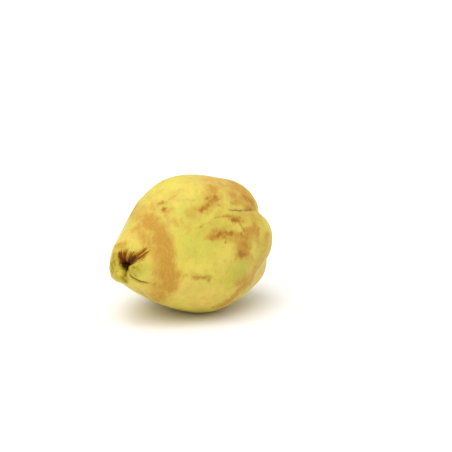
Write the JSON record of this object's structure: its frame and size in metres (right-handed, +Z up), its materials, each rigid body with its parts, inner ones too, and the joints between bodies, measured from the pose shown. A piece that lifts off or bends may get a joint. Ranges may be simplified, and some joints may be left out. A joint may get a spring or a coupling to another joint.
{
  "type": "quince",
  "caption": "Ripe ribbed quince lying on its side, with a stem pit on a narrow nose and a dried flower in the basin at the broad end.",
  "frame": {"origin": "on the surface that the fruit rests on, under the middle of its bounding box", "axes": "+X along the fruit from the stem end to the flower end, +Z up"},
  "size_m": [0.1086, 0.0862, 0.0823],
  "materials": {
    "skin": "satin, faintly waxy skin, yellow-green with tan and orange-brown russet patches",
    "stem": "dry, broken, dark brown",
    "sepal": "dry, matte, brown leaf",
    "stamens": "dry, matte, dark brown threads"
  },
  "bodies": {
    "root": {"quince_fruit": "skin", "stem_stub": "stem", "sepal_1": "sepal", "sepal_2": "sepal", "sepal_3": "sepal", "sepal_4": "sepal", "sepal_5": "sepal", "dried_stamens": "stamens"}
  },
  "joints": []
}
